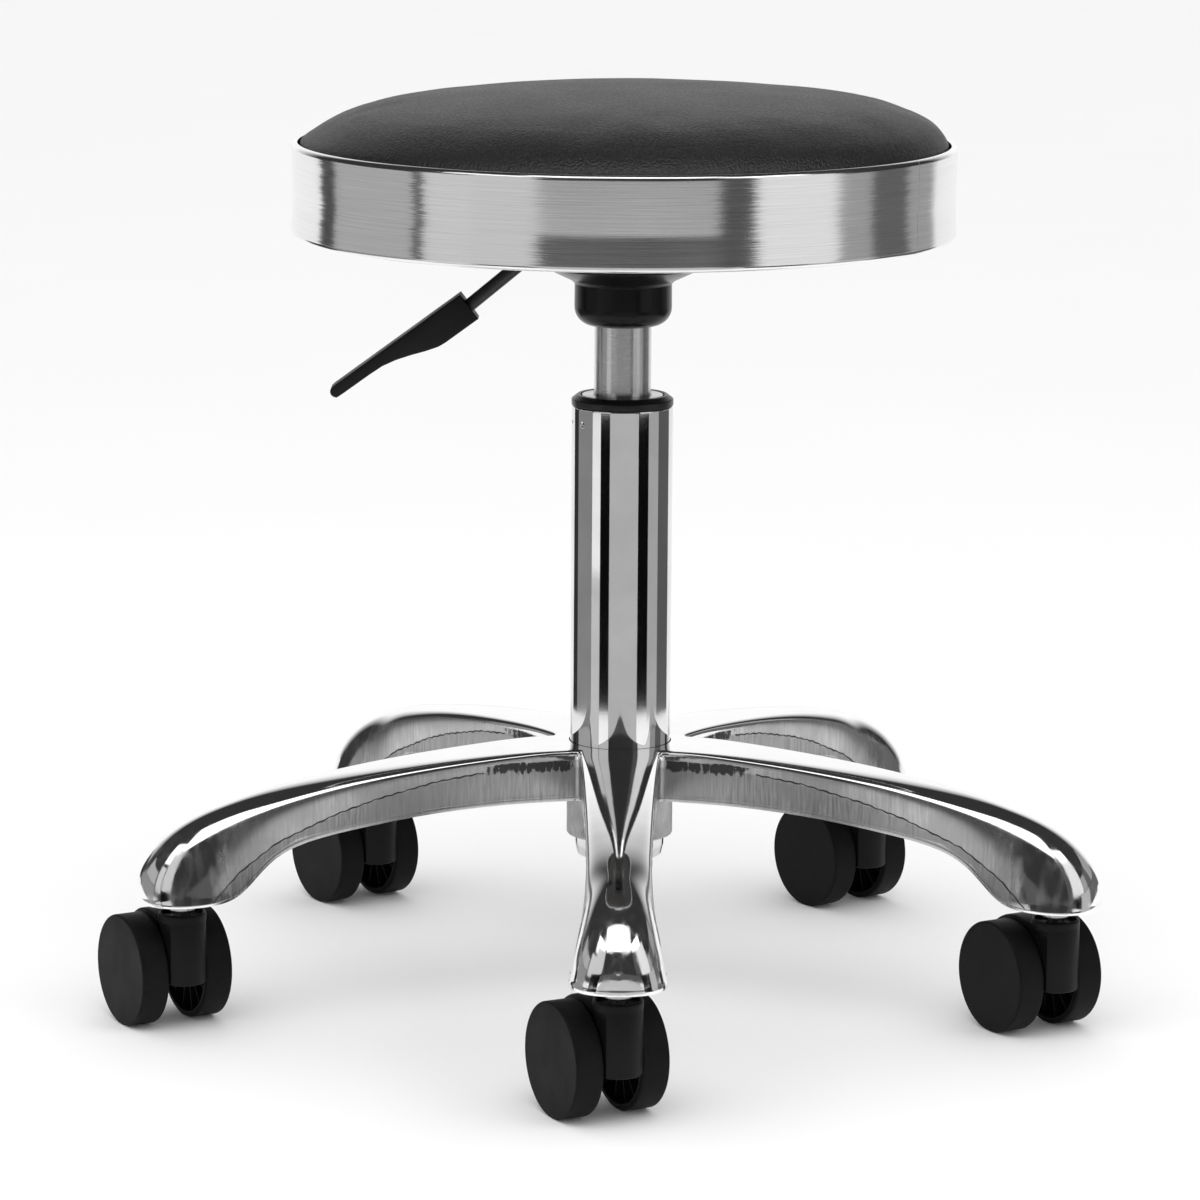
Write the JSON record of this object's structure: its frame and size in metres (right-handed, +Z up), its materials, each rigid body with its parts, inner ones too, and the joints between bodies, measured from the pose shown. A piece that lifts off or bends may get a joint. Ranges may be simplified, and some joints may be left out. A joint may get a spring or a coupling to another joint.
{
  "type": "adjustable swivel stool",
  "caption": "Round padded stool on a gas lift, with a brushed steel seat band, a release lever and a polished star base on twin-wheel castors.",
  "frame": {"origin": "middle of the bounding box, on the floor; the lift column's axis stands at x = 10.5 mm, y = 5.8 mm", "axes": "+Z up, +X to the sitter's right with the release lever on the -X side, -Y along the first arm of the base"},
  "size_m": [0.4944, 0.4807, 0.458],
  "materials": {
    "polished_aluminium": "polished",
    "polished_chrome": "polished",
    "brushed_stainless": "satin",
    "satin_steel": "satin",
    "machined_aluminium": "satin",
    "brass": "satin",
    "gloss_black_plastic": "gloss",
    "matte_black_plastic": "matte",
    "black_painted_steel": "satin",
    "rubber": "matte",
    "plywood": "matte",
    "black_leather": "satin"
  },
  "bodies": {
    "root": {"star_base": "polished_aluminium", "lift_tube": "polished_chrome", "guide_bushing": "matte_black_plastic", "bushing_insert_ring": "machined_aluminium", "thrust_washer_lower": "satin_steel", "thrust_bearing": "satin_steel", "thrust_washer_upper": "satin_steel", "bump_stop": "rubber", "retaining_clip": "satin_steel", "castor_1_stem": "satin_steel", "castor_1_grip_ring": "satin_steel", "castor_2_stem": "satin_steel", "castor_2_grip_ring": "satin_steel", "castor_3_stem": "satin_steel", "castor_3_grip_ring": "satin_steel", "castor_4_stem": "satin_steel", "castor_4_grip_ring": "satin_steel", "castor_5_stem": "satin_steel", "castor_5_grip_ring": "satin_steel"},
    "piston_set": {"piston_rod": "satin_steel", "piston": "brass", "piston_seal": "rubber", "piston_nut": "satin_steel"},
    "seat": {"gas_cylinder": "satin_steel", "cylinder_end_guide": "matte_black_plastic", "socket_plate": "black_painted_steel", "bell_cover": "gloss_black_plastic", "seat_board": "plywood", "seat_band": "brushed_stainless", "cushion": "black_leather", "lever_pivot_pin": "satin_steel", "plate_screw_1": "satin_steel", "plate_screw_2": "satin_steel", "plate_screw_3": "satin_steel", "plate_screw_4": "satin_steel"},
    "lever": {"lever_rod": "black_painted_steel", "lever_grip": "matte_black_plastic"},
    "pin": {"release_pin": "satin_steel"},
    "castor_1": {"castor_1_housing": "matte_black_plastic", "castor_1_axle": "satin_steel"},
    "castor_1_left_wheel": {"castor_1_wheel_left": "matte_black_plastic"},
    "castor_1_right_wheel": {"castor_1_wheel_right": "matte_black_plastic"},
    "castor_2": {"castor_2_housing": "matte_black_plastic", "castor_2_axle": "satin_steel"},
    "castor_2_left_wheel": {"castor_2_wheel_left": "matte_black_plastic"},
    "castor_2_right_wheel": {"castor_2_wheel_right": "matte_black_plastic"},
    "castor_3": {"castor_3_housing": "matte_black_plastic", "castor_3_axle": "satin_steel"},
    "castor_3_left_wheel": {"castor_3_wheel_left": "matte_black_plastic"},
    "castor_3_right_wheel": {"castor_3_wheel_right": "matte_black_plastic"},
    "castor_4": {"castor_4_housing": "matte_black_plastic", "castor_4_axle": "satin_steel"},
    "castor_4_left_wheel": {"castor_4_wheel_left": "matte_black_plastic"},
    "castor_4_right_wheel": {"castor_4_wheel_right": "matte_black_plastic"},
    "castor_5": {"castor_5_housing": "matte_black_plastic", "castor_5_axle": "satin_steel"},
    "castor_5_left_wheel": {"castor_5_wheel_left": "matte_black_plastic"},
    "castor_5_right_wheel": {"castor_5_wheel_right": "matte_black_plastic"}
  },
  "joints": [
    {"name": "seat_swivel", "type": "hinge", "parent": "root", "child": "piston_set", "pos_m": [0.0105, 0.0058, 0.084], "axis": [0, 0, 1], "continuous": true},
    {"name": "seat_lift", "type": "slide", "parent": "piston_set", "child": "seat", "axis": [0, 0, 1], "range_m": [-0.025, 0.095]},
    {"name": "release_lever", "type": "hinge", "parent": "seat", "child": "lever", "pos_m": [-0.0135, 0.0058, 0.3896], "axis": [0, 1, 0], "range_deg": [0, 8], "stiffness_Nm_per_rad": 0.5, "springref_deg": -5.73},
    {"name": "release_pin", "type": "slide", "parent": "seat", "child": "pin", "axis": [0, 0, -1], "range_m": [0, 0.0041]},
    {"name": "castor_1_swivel", "type": "hinge", "parent": "root", "child": "castor_1", "pos_m": [0.0105, -0.2182, 0.0593], "axis": [0, 0, 1], "continuous": true},
    {"name": "castor_1_left_spin", "type": "hinge", "parent": "castor_1", "child": "castor_1_left_wheel", "pos_m": [0.00093, -0.19951, 0.0275], "axis": [0.8902, 0.4555, 0], "continuous": true},
    {"name": "castor_1_right_spin", "type": "hinge", "parent": "castor_1", "child": "castor_1_right_wheel", "pos_m": [0.00093, -0.19951, 0.0275], "axis": [0.8902, 0.4555, 0], "continuous": true},
    {"name": "castor_2_swivel", "type": "hinge", "parent": "root", "child": "castor_2", "pos_m": [0.22354, -0.06342, 0.0593], "axis": [0, 0, 1], "continuous": true},
    {"name": "castor_2_left_spin", "type": "hinge", "parent": "castor_2", "child": "castor_2_left_wheel", "pos_m": [0.21307, -0.04521, 0.0275], "axis": [0.8669, 0.4985, 0], "continuous": true},
    {"name": "castor_2_right_spin", "type": "hinge", "parent": "castor_2", "child": "castor_2_right_wheel", "pos_m": [0.21307, -0.04521, 0.0275], "axis": [0.8669, 0.4985, 0], "continuous": true},
    {"name": "castor_3_swivel", "type": "hinge", "parent": "root", "child": "castor_3", "pos_m": [0.14216, 0.18702, 0.0593], "axis": [0, 0, 1], "continuous": true},
    {"name": "castor_3_left_spin", "type": "hinge", "parent": "castor_3", "child": "castor_3_left_wheel", "pos_m": [0.12988, 0.20405, 0.0275], "axis": [0.8111, 0.585, 0], "continuous": true},
    {"name": "castor_3_right_spin", "type": "hinge", "parent": "castor_3", "child": "castor_3_right_wheel", "pos_m": [0.12988, 0.20405, 0.0275], "axis": [0.8111, 0.585, 0], "continuous": true},
    {"name": "castor_4_swivel", "type": "hinge", "parent": "root", "child": "castor_4", "pos_m": [-0.12116, 0.18702, 0.0593], "axis": [0, 0, 1], "continuous": true},
    {"name": "castor_4_left_spin", "type": "hinge", "parent": "castor_4", "child": "castor_4_left_wheel", "pos_m": [-0.13278, 0.20451, 0.0275], "axis": [0.8329, 0.5534, 0], "continuous": true},
    {"name": "castor_4_right_spin", "type": "hinge", "parent": "castor_4", "child": "castor_4_right_wheel", "pos_m": [-0.13278, 0.20451, 0.0275], "axis": [0.8329, 0.5534, 0], "continuous": true},
    {"name": "castor_5_swivel", "type": "hinge", "parent": "root", "child": "castor_5", "pos_m": [-0.20254, -0.06342, 0.0593], "axis": [0, 0, 1], "continuous": true},
    {"name": "castor_5_left_spin", "type": "hinge", "parent": "castor_5", "child": "castor_5_left_wheel", "pos_m": [-0.21304, -0.04523, 0.0275], "axis": [0.866, 0.5, 0], "continuous": true},
    {"name": "castor_5_right_spin", "type": "hinge", "parent": "castor_5", "child": "castor_5_right_wheel", "pos_m": [-0.21304, -0.04523, 0.0275], "axis": [0.866, 0.5, 0], "continuous": true}
  ],
  "couplings": [
    {"joint": "release_pin", "follows": "release_lever", "m_per_rad": 0.028}
  ]
}
